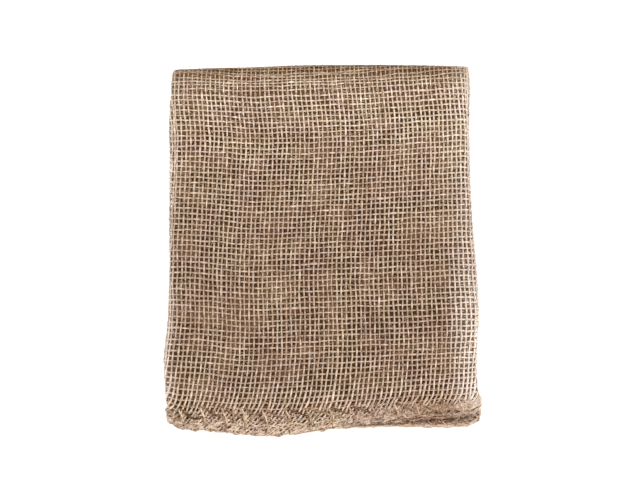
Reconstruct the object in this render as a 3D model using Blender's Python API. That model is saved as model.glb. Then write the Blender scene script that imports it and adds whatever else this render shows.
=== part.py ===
"""A jute sack, folded flat as it is sold: 80 x 50 cm, folded to about 20 x 25 cm.

The sack is one length of plain-woven jute, doubled at its bottom and overcast along both sides, so it
is one solid. Two measures place a point on the flat sack: "along" runs from its closed bottom to its
open mouth, and "across" from one side seam to the other, zero midway. The sack is first folded in half
and in half again along its length, which gives four panels of two plies, and then once across its
width, with the crease at +Y and both side seams at -Y. X is the pack's width and Z is up, with the
pack lying on Z = 0.
"""

from collections import namedtuple
from functools import cache

import bmesh
import bpy
import numpy as np

# Driving dimensions, in metres.
SACK_LENGTH = 0.800
SACK_WIDTH = 0.500
PLY = 0.0011
AIR = 0.00045
SEAM_BAND = 0.009

# Where the plies lie in the folded pack.
PLY_PITCH = PLY + AIR
SKIN_OUT = PLY_PITCH / 2 + PLY / 2
SKIN_IN = PLY_PITCH / 2 - PLY / 2
SKIN_AT_SEAM = 0.00110
SMALL_FOLD = PLY_PITCH
WIDE_FOLD = 3 * PLY_PITCH
HALF_SECTION = WIDE_FOLD + SKIN_OUT
CREASE_HOLLOW = 0.0004
CREASE_RADIUS = HALF_SECTION + CREASE_HOLLOW
THICKNESS = 2 * (CREASE_RADIUS + HALF_SECTION)
CREASE_RUN = np.pi * CREASE_RADIUS
PANEL_RUN = 0.1926
END_RUN = (SACK_LENGTH - 2 * PANEL_RUN - np.pi * (WIDE_FOLD + 2 * SMALL_FOLD)) / 2
HALF_PACK = 0.1012
CREASE_Y = 0.1109

# How finely the mesh follows the folds.
CORNER_STEPS = (0.003, 0.009)
PANEL_STEPS = 5
WIDE_FOLD_STEPS = 6
SMALL_FOLD_STEPS = 4
BOTTOM_STEPS = 4
CREASE_STEPS = 8
SEAM_SIDE_STEP = 0.015
FLAT_STEPS = 7

# One row for each panel, in order from the sack's bottom to its mouth, with the fold that ends it. Its
# turn is 1 to the left and -1 to the right, seen along Y.
Panel = namedtuple("Panel", "run fold_radius turn fold_steps")
PANELS = (
    Panel(END_RUN, WIDE_FOLD, 1, WIDE_FOLD_STEPS),
    Panel(PANEL_RUN, SMALL_FOLD, 1, SMALL_FOLD_STEPS),
    Panel(PANEL_RUN, SMALL_FOLD, -1, SMALL_FOLD_STEPS),
    Panel(END_RUN, 0, 0, 0),
)

# How far each side seam's edge is drawn in by the folding, at places along the sack. The upper seam is
# the one on top of the pack.
SeamEdge = namedtuple("SeamEdge", "along upper lower")
SEAM_EDGES = (
    SeamEdge(0.000, 0.0075, 0.0065),
    SeamEdge(0.100, 0.0070, 0.0072),
    SeamEdge(0.150, 0.0108, 0.0084),
    SeamEdge(0.204, 0.0150, 0.0080),
    SeamEdge(0.236, 0.0138, 0.0080),
    SeamEdge(0.262, 0.0112, 0.0084),
    SeamEdge(0.300, 0.0052, 0.0072),
    SeamEdge(0.312, 0.0034, 0.0073),
    SeamEdge(0.335, 0.0010, 0.0075),
    SeamEdge(0.356, 0.0022, 0.0080),
    SeamEdge(0.375, 0.0042, 0.0082),
    SeamEdge(0.405, 0.0058, 0.0078),
    SeamEdge(0.500, 0.0066, 0.0070),
    SeamEdge(0.552, 0.0108, 0.0084),
    SeamEdge(0.601, 0.0140, 0.0082),
    SeamEdge(0.645, 0.0115, 0.0085),
    SeamEdge(0.700, 0.0078, 0.0075),
    SeamEdge(0.800, 0.0085, 0.0070),
)
SEAM_PULL_REACH = 0.070
CORNER_ROUND = 0.0038
CORNER_REACH = 0.0060

# How far each end and fold of the panels stands out sideways past its place, and how it wanders, as a
# wave across the sack, in the order from the bottom to the mouth. Side is -1 on the left.
FoldLine = namedtuple("FoldLine", "side out wander waves phase")
FOLD_LINES = (
    FoldLine(-1, -0.0010, 0.0009, 5.0, 0.6),
    FoldLine(1, 0.0000, 0.0004, 7.0, 2.2),
    FoldLine(-1, 0.0000, 0.0004, 6.0, 4.0),
    FoldLine(1, -0.0018, 0.0010, 5.5, 0.3),
    FoldLine(-1, -0.0026, 0.0016, 4.5, 3.1),
)
FOLD_LINE_REACH = 0.030

# How far the pack's left and right edges stand out past their mean, how much further the lower half's
# right edge does, and how thick the pack is against the mean, at places along Y. It is drawn in
# slightly round its middle and sinks towards the seams.
Waist = namedtuple("Waist", "y left right lower_right thick")
WAIST = (
    Waist(-0.130, -0.0060, -0.0030, 0.0000, 0.84),
    Waist(-0.122, -0.0040, -0.0002, 0.0006, 0.88),
    Waist(-0.110, -0.0026, 0.0020, 0.0010, 0.94),
    Waist(-0.095, -0.0013, 0.0008, 0.0006, 0.99),
    Waist(-0.080, 0.0000, 0.0004, 0.0000, 1.01),
    Waist(-0.055, -0.0015, 0.0020, 0.0000, 0.98),
    Waist(0.010, -0.0008, 0.0002, 0.0010, 0.95),
    Waist(0.060, -0.0002, -0.0018, 0.0034, 0.97),
    Waist(0.085, 0.0008, -0.0022, 0.0040, 1.03),
    Waist(0.105, 0.0004, -0.0018, 0.0040, 1.03),
    Waist(0.125, 0.0002, -0.0008, 0.0030, 0.99),
)
HALF_STEEPNESS = 1.25

# How far the crease at +Y falls short of its furthest point, at places along X, and how far its right
# corner is pushed out.
Crease = namedtuple("Crease", "x short")
CREASE_LINE = (
    Crease(-0.105, 0.0030),
    Crease(-0.072, 0.0023),
    Crease(-0.048, 0.0019),
    Crease(-0.022, 0.0007),
    Crease(0.020, 0.0000),
    Crease(0.042, 0.0000),
    Crease(0.068, 0.0003),
    Crease(0.105, 0.0006),
)
CREASE_CORNER = 0.0030
CREASE_CORNER_REACH = 0.0050

# Low swells in the pack's thickness: share of the thickness, waves per metre along X and Y, and phase.
Swell = namedtuple("Swell", "share per_x per_y phase")
SWELLS = (
    Swell(0.016, 6.0, 4.0, 0.4),
    Swell(0.012, -3.0, 8.5, 2.1),
)
SIDE_DROOP = 0.07

JUTE_COLOUR = (0.40, 0.27, 0.16, 1.0)


@cache
def curve_rows(table, key, column):
    """A named column's places, values and slopes."""
    places = np.array([getattr(row, key) for row in table])
    values = np.array([getattr(row, column) for row in table])
    return places, values, np.gradient(values, places)


def read_column(table, at, key, column):
    """A named column of a table at any place, with a smooth curve through its rows."""
    places, values, slopes = curve_rows(table, key, column)
    at = min(max(at, places[0]), places[-1])
    row = min(max(int(np.searchsorted(places, at)) - 1, 0), len(places) - 2)
    span = places[row + 1] - places[row]
    f = (at - places[row]) / span
    return (
        values[row] * (1 + 2 * f) * (1 - f) ** 2
        + values[row + 1] * f**2 * (3 - 2 * f)
        + slopes[row] * span * f * (1 - f) ** 2
        + slopes[row + 1] * span * f**2 * (f - 1)
    )


def smooth_step(f):
    f = min(max(f, 0.0), 1.0)
    return f * f * (3 - 2 * f)


def section_point(along, lift):
    """(x, height) of a point of the four panels, lift away from the middle between their two plies."""
    x, height, heading = -HALF_PACK + SMALL_FOLD + SKIN_OUT - (END_RUN - PANEL_RUN), -WIDE_FOLD, 1
    for panel in PANELS:
        if along <= panel.run or not panel.turn:
            return x + heading * along, height - heading * lift
        along -= panel.run
        x += heading * panel.run
        fold_run = np.pi * panel.fold_radius
        rise = heading * panel.turn
        if along <= fold_run:
            angle = along / panel.fold_radius
            radius = panel.fold_radius + panel.turn * lift
            middle = height + rise * panel.fold_radius
            return x + heading * radius * np.sin(angle), middle - rise * radius * np.cos(angle)
        along -= fold_run
        height += 2 * rise * panel.fold_radius
        heading = -heading


@cache
def fold_places():
    """The distances along the sack of its bottom, its three folds' middles and its mouth."""
    places, along = [0.0], 0.0
    for panel in PANELS[:-1]:
        along += panel.run + np.pi * panel.fold_radius / 2
        places.append(along)
        along += np.pi * panel.fold_radius / 2
    return np.array(places + [SACK_LENGTH])


def fold_wander(along, across):
    """How far a point near a fold or an end slips along X, so that no two folds lie in one line."""
    slip = 0.0
    for line, place in zip(FOLD_LINES, fold_places(), strict=True):
        out = line.out + line.wander * np.sin(2 * np.pi * line.waves * across + line.phase)
        slip += line.side * out * np.exp(-(((along - place) / FOLD_LINE_REACH) ** 2))
    return slip


def seam_pull(along, across):
    """How far a point is drawn in from its side seam's edge, most at the edge and at the corners."""
    column = "upper" if across < 0 else "lower"
    from_edge = SACK_WIDTH / 2 - abs(across)
    corner = np.exp(-(((along - fold_places()) / CORNER_REACH) ** 2)).max()
    pull = read_column(SEAM_EDGES, along, "along", column) + CORNER_ROUND * corner
    return pull * smooth_step(1 - from_edge / SEAM_PULL_REACH)


def crease_point(across, height):
    """(y, z) of a point of the section once it is carried round the crease at +Y."""
    flat = abs(across) - CREASE_RUN / 2
    side = -np.sign(across)
    radius = CREASE_RADIUS + height
    if flat > 0:
        return CREASE_Y - flat, side * radius
    angle = across / CREASE_RADIUS
    return CREASE_Y + radius * np.cos(angle), -radius * np.sin(angle)


def settle(x, y, z):
    """The pack's uneven outline and thickness. Its underside stays flat."""
    share = x / HALF_PACK
    low = smooth_step(0.5 + HALF_STEEPNESS * (0.5 - z / THICKNESS))
    left = read_column(WAIST, y, "y", "left")
    right = read_column(WAIST, y, "y", "right") + low * read_column(WAIST, y, "y", "lower_right")
    x = x + abs(share) ** 3 * (right if share > 0 else -left)
    y = y - read_column(CREASE_LINE, x, "x", "short") * smooth_step(y / CREASE_Y)
    at_corner = smooth_step(1 + (x - HALF_PACK) / CREASE_CORNER_REACH)
    y += CREASE_CORNER * at_corner * smooth_step((y - CREASE_Y) / CREASE_RADIUS)
    thick = read_column(WAIST, y, "y", "thick") - SIDE_DROOP * share**4
    for swell in SWELLS:
        thick += swell.share * np.sin(2 * np.pi * (swell.per_x * x + swell.per_y * y) + swell.phase)
    return x, y, z * thick


def pack_point(along, across, lift):
    """A point of the flat sack, lift above the middle between its plies, in the folded pack."""
    x, height = section_point(along, lift)
    x += fold_wander(along, across)
    y, z = crease_point(across, height)
    y += seam_pull(along, across)
    return settle(x, y, z + THICKNESS / 2)


def places_along():
    """The distances along the sack at which its mesh has points, the same across every panel."""
    near, far = CORNER_STEPS
    middle = np.linspace(far, PANEL_RUN - far, PANEL_STEPS + 1)
    panel = np.concatenate([[0, near], middle, [PANEL_RUN - near, PANEL_RUN]])
    overhang = END_RUN - PANEL_RUN
    places = [0.0] + list(overhang + panel)
    for last, this in zip(PANELS[:-1], PANELS[1:], strict=True):
        fold_run = np.pi * last.fold_radius
        fold = np.linspace(0, fold_run, last.fold_steps + 1)[1:-1]
        start = places[-1]
        places += list(start + fold) + list(start + fold_run + panel)
        if this is PANELS[-1]:
            places.append(SACK_LENGTH)
    return places


def places_across():
    """The distances across the sack at which its mesh has points, from one side seam to the other."""
    edge, crease = SACK_WIDTH / 2, CREASE_RUN / 2
    flat = np.linspace(crease, edge - SEAM_BAND - SEAM_SIDE_STEP, FLAT_STEPS + 1)[1:]
    outer = list(flat) + [edge - SEAM_BAND, edge]
    middle = np.linspace(-crease, crease, CREASE_STEPS + 1)
    return [-d for d in reversed(outer)] + list(middle) + outer


def skin_profile(lift):
    """(along, lift) round the doubled cloth's section: front ply from the mouth, bottom, back ply."""
    along = places_along()
    front = [(a, lift) for a in reversed(along)]
    turns = np.linspace(0, np.pi, BOTTOM_STEPS + 1)[1:-1]
    bottom = [(-lift * np.sin(turn), lift * np.cos(turn)) for turn in turns]
    back = [(a, -lift) for a in along]
    return front + bottom + back


def skin(bm, lift, across, at_seam=None):
    """Rows of points of one skin of the cloth, a row for each place across the sack."""
    rows = []
    for place in across:
        thin = 1.0
        if at_seam and abs(place) == SACK_WIDTH / 2:
            thin = at_seam / lift
        profile = skin_profile(lift)
        rows.append([bm.verts.new(pack_point(a, place, up * thin)) for a, up in profile])
    return rows


def fill(bm, first, second):
    """Faces between two rows of points."""
    for i in range(len(first) - 1):
        bm.faces.new((first[i], first[i + 1], second[i + 1], second[i]))


def close_between_plies(bm, row):
    """Faces that join the front ply to the back ply along one row of points."""
    half = len(row) // 2
    for i in range(half):
        corners = (row[i], row[i + 1], row[-i - 2], row[-i - 1])
        bm.faces.new(tuple(dict.fromkeys(corners)))


def sack_mesh(bm):
    """The doubled cloth with its open mouth, as one closed body."""
    across = places_across()
    pocket = across[1:-1]
    outer = skin(bm, SKIN_OUT, across, SKIN_AT_SEAM)
    inner = skin(bm, SKIN_IN, pocket)
    for rows in (outer, inner):
        for first, second in zip(rows[:-1], rows[1:], strict=True):
            fill(bm, first, second)
    for row in (outer[0], outer[-1], inner[0], inner[-1]):
        close_between_plies(bm, row)
    # The mouth's rim: one strip for each ply, and a closed end where each seam joins them.
    for end in (0, -1):
        for i in range(len(pocket) - 1):
            bm.faces.new((outer[i + 1][end], outer[i + 2][end], inner[i + 1][end], inner[i][end]))
    for seam, first, last in ((outer[0], outer[1], inner[0]), (outer[-1], outer[-2], inner[-1])):
        bm.faces.new((seam[0], first[0], last[0], last[-1], first[-1], seam[-1]))


def centre_on_floor(bm):
    """Moves the pack so that its box is centred on the origin and stands on Z = 0."""
    points = np.array([v.co for v in bm.verts])
    low, high = points.min(axis=0), points.max(axis=0)
    shift = (-(low[0] + high[0]) / 2, -(low[1] + high[1]) / 2, -low[2])
    bmesh.ops.translate(bm, verts=bm.verts, vec=shift)
    print("pack", np.round((high - low) * 1000, 1), "mm, moved", np.round(np.array(shift) * 1000, 2))


def jute_material():
    material = bpy.data.materials.new("jute cloth")
    material.use_nodes = True
    shader = material.node_tree.nodes["Principled BSDF"]
    shader.inputs["Base Color"].default_value = JUTE_COLOUR
    shader.inputs["Roughness"].default_value = 0.9
    shader.inputs["Metallic"].default_value = 0.0
    material.diffuse_color = JUTE_COLOUR
    return material


def main():
    for old in list(bpy.data.objects):
        bpy.data.objects.remove(old, do_unlink=True)
    bm = bmesh.new()
    sack_mesh(bm)
    centre_on_floor(bm)
    bmesh.ops.recalc_face_normals(bm, faces=bm.faces)
    mesh = bpy.data.meshes.new("sack_cloth")
    bm.to_mesh(mesh)
    bm.free()
    mesh.shade_smooth()
    mesh.set_sharp_from_angle(angle=np.radians(40))
    mesh.materials.append(jute_material())
    sack = bpy.data.objects.new("sack_cloth", mesh)
    bpy.context.scene.collection.objects.link(sack)
    print("triangles", sum(len(p.vertices) - 2 for p in mesh.polygons))


main()
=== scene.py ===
# %% [markdown]
# # A jute sack, folded flat
# A jute sack is woven from thick, hairy yarns set about three millimetres apart. The cloth is doubled at
# the bottom and overcast along both sides, and the empty sack is folded into a small pack for the shelf.
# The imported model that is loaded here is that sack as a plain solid. This lesson weaves the cloth over
# it yarn by yarn, so that light falls through the real gaps of the weave.

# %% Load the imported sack
from collections import namedtuple
from functools import cache

import bpy
import numpy as np
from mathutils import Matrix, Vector


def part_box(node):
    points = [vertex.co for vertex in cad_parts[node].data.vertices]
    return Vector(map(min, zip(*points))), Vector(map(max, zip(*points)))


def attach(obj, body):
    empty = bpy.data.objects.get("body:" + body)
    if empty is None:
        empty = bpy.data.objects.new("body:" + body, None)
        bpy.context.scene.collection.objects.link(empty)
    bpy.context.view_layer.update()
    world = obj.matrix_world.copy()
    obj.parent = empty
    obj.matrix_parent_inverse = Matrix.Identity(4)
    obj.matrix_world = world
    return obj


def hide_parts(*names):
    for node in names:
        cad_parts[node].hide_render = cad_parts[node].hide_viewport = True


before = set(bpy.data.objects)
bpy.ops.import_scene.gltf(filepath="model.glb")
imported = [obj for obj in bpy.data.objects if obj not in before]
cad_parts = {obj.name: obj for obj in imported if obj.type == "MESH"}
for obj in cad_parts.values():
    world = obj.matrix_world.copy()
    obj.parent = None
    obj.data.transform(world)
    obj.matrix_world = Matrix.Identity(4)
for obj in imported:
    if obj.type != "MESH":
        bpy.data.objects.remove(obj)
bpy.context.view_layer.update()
pack_low, pack_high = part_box("sack_cloth")
print("the pack runs from", [round(c, 4) for c in pack_low], "to", [round(c, 4) for c in pack_high])

# %% [markdown]
# ## The camera
# The pack lies on its back and is seen from above, a little from the seam's side. A tilt of twelve
# degrees makes the near edge slightly wider than the crease. The lens follows from how many millimetres
# of the pack one pixel of a 640 x 480 picture shows.

# %% Camera
PICTURE_WIDTH_PX = 640
METRES_PER_PX = 0.000656
CAMERA_DISTANCE = 0.785
CAMERA_TILT = np.radians(12.0)
SENSOR_MM = 36.0
LOOK_AT = np.array([-0.0010, 0.0014, 0.020])

focal_px = CAMERA_DISTANCE / METRES_PER_PX
camera_data = bpy.data.cameras.new("camera")
camera_data.sensor_width = SENSOR_MM
camera_data.lens = SENSOR_MM * focal_px / PICTURE_WIDTH_PX
camera = bpy.data.objects.new("camera", camera_data)
bpy.context.scene.collection.objects.link(camera)
camera.location = LOOK_AT + CAMERA_DISTANCE * np.array([0, -np.sin(CAMERA_TILT), np.cos(CAMERA_TILT)])
camera.rotation_euler = (CAMERA_TILT, 0, 0)
bpy.context.scene.camera = camera
print("lens", round(camera_data.lens, 1), "mm")

# %% [markdown]
# ## How the sack is folded
# Two measures place a point on the flat sack: "along" runs from its closed bottom to its open mouth, and
# "across" from one side seam to the other, zero midway. A third, "lift", is the height over the middle
# between its two plies. Everything below is laid out flat in these three and then folded by one function,
# so that cloth, seams and twine always agree. Bending finished meshes with modifiers would be quicker to
# set up, but each piece would then need the same bends again. The sizes are those of the solid.

# %% Sizes of the sack and its folds
SACK_LENGTH = 0.800
SACK_WIDTH = 0.500
HALF_WIDTH = SACK_WIDTH / 2
PLY = 0.0011
AIR = 0.00045
PLY_PITCH = PLY + AIR
SKIN_OUT = PLY_PITCH / 2 + PLY / 2
SMALL_FOLD = PLY_PITCH
WIDE_FOLD = 3 * PLY_PITCH
HALF_SECTION = WIDE_FOLD + SKIN_OUT
CREASE_HOLLOW = 0.0004
CREASE_RADIUS = HALF_SECTION + CREASE_HOLLOW
THICKNESS = 2 * (CREASE_RADIUS + HALF_SECTION)
CREASE_RUN = np.pi * CREASE_RADIUS
PANEL_RUN = 0.1926
END_RUN = (SACK_LENGTH - 2 * PANEL_RUN - np.pi * (WIDE_FOLD + 2 * SMALL_FOLD)) / 2
HALF_PACK = 0.1012
CREASE_Y = 0.1109
PACK_SHIFT = np.array([-0.00019, 0.00200, 0.0])
print("the pack's plain section is", round(1000 * THICKNESS, 1), "mm thick")

# %% [markdown]
# ## Reading a short table
# Soft folds are never straight. Where the cloth wanders, its places are kept in a short table, a row for
# each spot that matters, and a smooth curve is drawn through the rows. A curve object could hold them too,
# but a table is easier to read and to put right.

# %% Smooth curves
def table(columns, *rows):
    """Rows of numbers, with the columns' names."""
    row_kind = namedtuple("row", columns)
    return tuple(row_kind(*row) for row in rows)


def curve_between(value, next_value, slope, next_slope, f):
    """A smooth curve from one value to the next, a share f of the way."""
    return (
        value * (1 + 2 * f) * (1 - f) ** 2
        + next_value * f**2 * (3 - 2 * f)
        + slope * f * (1 - f) ** 2
        + next_slope * f**2 * (f - 1)
    )


@cache
def curve_rows(rows, key, column):
    """The places, values and slopes of a named column."""
    places = np.array([getattr(row, key) for row in rows])
    values = np.array([getattr(row, column) for row in rows])
    return places, values, np.gradient(values, places)


def read_column(rows, at, key, column):
    """A named column of a table at many places, with a smooth curve through its rows."""
    places, values, slopes = curve_rows(rows, key, column)
    at = np.clip(at, places[0], places[-1])
    row = np.clip(np.searchsorted(places, at) - 1, 0, len(places) - 2)
    span = places[row + 1] - places[row]
    f = (at - places[row]) / span
    return curve_between(values[row], values[row + 1], slopes[row] * span, slopes[row + 1] * span, f)


def smooth_step(f):
    f = np.clip(f, 0, 1)
    return f * f * (3 - 2 * f)


def depth_in(across):
    """How far in from the nearer seam's edge a place lies."""
    return HALF_WIDTH - np.abs(across)


# %% [markdown]
# ## Four panels
# The sack is folded in half along its length, and in half again. The bottom panel lies lowest. The cloth
# goes up round a wide fold at the right to the top panel, and the other two panels turn back and forth
# between them, round small folds, so that the mouth ends inside.

# %% The section of the four panels
PANELS = table(
    "run fold_radius turn",
    (END_RUN, WIDE_FOLD, 1),
    (PANEL_RUN, SMALL_FOLD, 1),
    (PANEL_RUN, SMALL_FOLD, -1),
    (END_RUN, 0, 0),
)


def section_point(along, lift):
    """(x, height) of points of the four panels, lift away from the middle between their two plies."""
    x, height = np.zeros_like(along), np.zeros_like(along)
    start = -HALF_PACK + SMALL_FOLD + SKIN_OUT - (END_RUN - PANEL_RUN)
    level, heading, begun = -WIDE_FOLD, 1, 0.0
    for panel in PANELS:
        here = (along >= begun) | (begun == 0)
        x = np.where(here, start + heading * (along - begun), x)
        height = np.where(here, level - heading * lift, height)
        if not panel.turn:
            break
        begun += panel.run
        start += heading * panel.run
        rise = heading * panel.turn
        angle = (along - begun) / panel.fold_radius
        radius = panel.fold_radius + panel.turn * lift
        middle = level + rise * panel.fold_radius
        here = along >= begun
        x = np.where(here, start + heading * radius * np.sin(angle), x)
        height = np.where(here, middle - rise * radius * np.cos(angle), height)
        begun += np.pi * panel.fold_radius
        level += 2 * rise * panel.fold_radius
        heading = -heading
    return x, height


@cache
def fold_places():
    """The distances along the sack of its bottom, its three folds' middles and its mouth."""
    places, along = [0.0], 0.0
    for panel in PANELS[:-1]:
        along += panel.run + np.pi * panel.fold_radius / 2
        places.append(along)
        along += np.pi * panel.fold_radius / 2
    return places + [SACK_LENGTH]


print("folds at", [round(float(place), 3) for place in fold_places()], "along the sack")

# %% How far the folds stand out
FOLD_LINES = table(
    "side out wander waves phase",
    (-1, -0.0010, 0.0009, 5.0, 0.6),
    (1, 0.0000, 0.0004, 7.0, 2.2),
    (-1, 0.0000, 0.0004, 6.0, 4.0),
    (1, -0.0018, 0.0010, 5.5, 0.3),
    (-1, -0.0026, 0.0016, 4.5, 3.1),
)
FOLD_LINE_REACH = 0.030


def fold_wander(along, across):
    """How far the cloth stands out or falls short where it is folded."""
    slip = np.zeros_like(along)
    for line, place in zip(FOLD_LINES, fold_places(), strict=True):
        out = line.out + line.wander * np.sin(2 * np.pi * line.waves * across + line.phase)
        slip += line.side * out * np.exp(-(((along - place) / FOLD_LINE_REACH) ** 2))
    return slip


print(len(FOLD_LINES), "fold lines")

# %% How far the seams are drawn in
SEAM_EDGES = table(
    "along upper lower",
    (0.000, 0.0075, 0.0065),
    (0.100, 0.0070, 0.0072),
    (0.150, 0.0108, 0.0084),
    (0.204, 0.0150, 0.0080),
    (0.236, 0.0138, 0.0080),
    (0.262, 0.0112, 0.0084),
    (0.300, 0.0052, 0.0072),
    (0.312, 0.0034, 0.0073),
    (0.335, 0.0010, 0.0075),
    (0.356, 0.0022, 0.0080),
    (0.375, 0.0042, 0.0082),
    (0.405, 0.0058, 0.0078),
    (0.500, 0.0066, 0.0070),
    (0.552, 0.0108, 0.0084),
    (0.601, 0.0140, 0.0082),
    (0.645, 0.0115, 0.0085),
    (0.700, 0.0078, 0.0075),
    (0.800, 0.0085, 0.0070),
)
SEAM_PULL_REACH = 0.070
CORNER_ROUND = 0.0038
CORNER_REACH = 0.0060


def seam_pull(along, across):
    """How far the folding draws the cloth in from its seams' edges."""
    upper = read_column(SEAM_EDGES, along, "along", "upper")
    lower = read_column(SEAM_EDGES, along, "along", "lower")
    corner = np.max([np.exp(-(((along - place) / CORNER_REACH) ** 2)) for place in fold_places()], axis=0)
    pull = np.where(across < 0, upper, lower) + CORNER_ROUND * corner
    return pull * smooth_step(1 - depth_in(across) / SEAM_PULL_REACH)


print("the seams are drawn in by up to", max(row.upper for row in SEAM_EDGES), "m")

# %% [markdown]
# ## Round the crease
# Last, the four panels are folded in two across their middle. The pack is then settled: its sides are
# drawn in and out, its crease falls off towards the left, it sinks towards the seams and sides, and it
# has low swells. Only its underside stays flat, because it lies on that.

# %% Round the crease
def crease_point(across, height):
    """(y, z) of points of the section once it is carried round the crease at +Y."""
    flat = np.abs(across) - CREASE_RUN / 2
    radius = CREASE_RADIUS + height
    angle = across / CREASE_RADIUS
    y = np.where(flat > 0, CREASE_Y - flat, CREASE_Y + radius * np.cos(angle))
    return y, np.where(flat > 0, -np.sign(across) * radius, -radius * np.sin(angle))


print("cloth round the crease", round(CREASE_RUN, 4), "m")

# %% The uneven outline and thickness
WAIST = table(
    "y left right lower_right thick",
    (-0.130, -0.0060, -0.0030, 0.0000, 0.84),
    (-0.122, -0.0040, -0.0002, 0.0006, 0.88),
    (-0.110, -0.0026, 0.0020, 0.0010, 0.94),
    (-0.095, -0.0013, 0.0008, 0.0006, 0.99),
    (-0.080, 0.0000, 0.0004, 0.0000, 1.01),
    (-0.055, -0.0015, 0.0020, 0.0000, 0.98),
    (0.010, -0.0008, 0.0002, 0.0010, 0.95),
    (0.060, -0.0002, -0.0018, 0.0034, 0.97),
    (0.085, 0.0008, -0.0022, 0.0040, 1.03),
    (0.105, 0.0004, -0.0018, 0.0040, 1.03),
    (0.125, 0.0002, -0.0008, 0.0030, 0.99),
)
HALF_STEEPNESS = 1.25
CREASE_LINE = table(
    "x short",
    (-0.105, 0.0030),
    (-0.072, 0.0023),
    (-0.048, 0.0019),
    (-0.022, 0.0007),
    (0.020, 0.0000),
    (0.042, 0.0000),
    (0.068, 0.0003),
    (0.105, 0.0006),
)
CREASE_CORNER = 0.0030
CREASE_CORNER_REACH = 0.0050
SWELLS = table(
    "share per_x per_y phase",
    (0.016, 6.0, 4.0, 0.4),
    (0.012, -3.0, 8.5, 2.1),
)
SIDE_DROOP = 0.07


def settle(x, y, z):
    """The pack's uneven outline and thickness. Its underside stays flat."""
    share = x / HALF_PACK
    low = smooth_step(0.5 + HALF_STEEPNESS * (0.5 - z / THICKNESS))
    left = read_column(WAIST, y, "y", "left")
    right = read_column(WAIST, y, "y", "right") + low * read_column(WAIST, y, "y", "lower_right")
    x = x + np.abs(share) ** 3 * np.where(share > 0, right, -left)
    y = y - read_column(CREASE_LINE, x, "x", "short") * smooth_step(y / CREASE_Y)
    at_corner = smooth_step(1 + (x - HALF_PACK) / CREASE_CORNER_REACH)
    y = y + CREASE_CORNER * at_corner * smooth_step((y - CREASE_Y) / CREASE_RADIUS)
    thick = read_column(WAIST, y, "y", "thick") - SIDE_DROOP * share**4
    for swell in SWELLS:
        thick += swell.share * np.sin(2 * np.pi * (swell.per_x * x + swell.per_y * y) + swell.phase)
    return x, y, z * thick


# %% Folding a point of the flat sack into the pack
FLOOR_CLEARANCE = 0.00005


def fold(along, across, lift):
    """Points of the flat sack, in the folded pack."""
    along, across, lift = (a.astype(float) for a in np.broadcast_arrays(along, across, lift))
    x, height = section_point(along, lift)
    x += fold_wander(along, across)
    y, z = crease_point(across, height)
    y += seam_pull(along, across)
    x, y, z = settle(x, y, z + THICKNESS / 2)
    return np.stack([x, y, np.maximum(z, FLOOR_CLEARANCE)], axis=-1) + PACK_SHIFT


ON_TOP_PANEL = 0.3
corners = fold(ON_TOP_PANEL, [-HALF_WIDTH, 0.0], SKIN_OUT)
print("top panel from y", round(corners[0][1], 4), "to", round(corners[1][1], 4))

# %% [markdown]
# ## Where the yarns cross
# The cloth is a plain weave of two sets of yarns. Here "columns" run across the sack, from seam to seam,
# and "rows" run along it. A flat grid would look like a fly screen, because loose hessian never stays
# square: its rows sag between the side folds and crowd together at the crease, its columns lean where
# the seam has dragged them, and every yarn wanders a little. So the crossings are worked out first, and
# both sets of yarns then run through the same crossings, over one and under the next.

# %% Where the yarns were laid
COLUMN_PITCH = 0.00303
WIDE_FOLD_PITCH = 0.0024
SMALL_FOLD_PITCH = 0.0017
ROW_PITCH = 0.0036
LAST_PLAIN_ROW = 0.2342
FOLD_OVERLAP = 0.012
RIGHT_OVERLAP = 0.022
wide_fold_start = END_RUN
top_start = wide_fold_start + np.pi * WIDE_FOLD
top_end = top_start + PANEL_RUN
small_fold_end = top_end + np.pi * SMALL_FOLD

COLUMN_RUNS = table(
    "until pitch",
    (wide_fold_start, COLUMN_PITCH),
    (top_start, WIDE_FOLD_PITCH),
    (top_end, COLUMN_PITCH),
    (small_fold_end, SMALL_FOLD_PITCH),
    (small_fold_end + FOLD_OVERLAP, COLUMN_PITCH),
)
CREASE_ROWS = (0.0006, 0.0018, 0.0035, 0.0053, 0.0064, 0.0087, 0.0107, 0.0127, 0.0160, 0.0201)
ROW_RUNS = table("until pitch", (LAST_PLAIN_ROW, ROW_PITCH))
UPPER_SEAM_ROWS = (0.0130, 0.0100, 0.0070, 0.0040, 0.0012)
LOWER_SEAM_ROWS = (0.0128, 0.0102, 0.0074, 0.0030, 0.0012)


def lay(begin, runs):
    """Places of yarns side by side. Each run of them goes on to where it ends, at about its pitch."""
    places = [begin]
    for run in runs:
        steps = round((run.until - places[-1]) / run.pitch)
        places += list(np.linspace(places[-1], run.until, steps + 1)[1:])
    return np.array(places)


column_places = lay(wide_fold_start - RIGHT_OVERLAP, COLUMN_RUNS)
half_rows = np.concatenate([CREASE_ROWS[:-1], lay(CREASE_ROWS[-1], ROW_RUNS)])
upper_rows = np.concatenate([half_rows, HALF_WIDTH - np.array(UPPER_SEAM_ROWS)])
lower_rows = np.concatenate([half_rows, HALF_WIDTH - np.array(LOWER_SEAM_ROWS)])
row_places = np.concatenate([-upper_rows[::-1], lower_rows])
print(len(column_places), "columns and", len(row_places), "rows")

# %% How far the rows sag
def fade(value, begin, end):
    """1 up to begin, 0 from end on, and smooth between them."""
    return smooth_step((end - value) / (end - begin))


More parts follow.
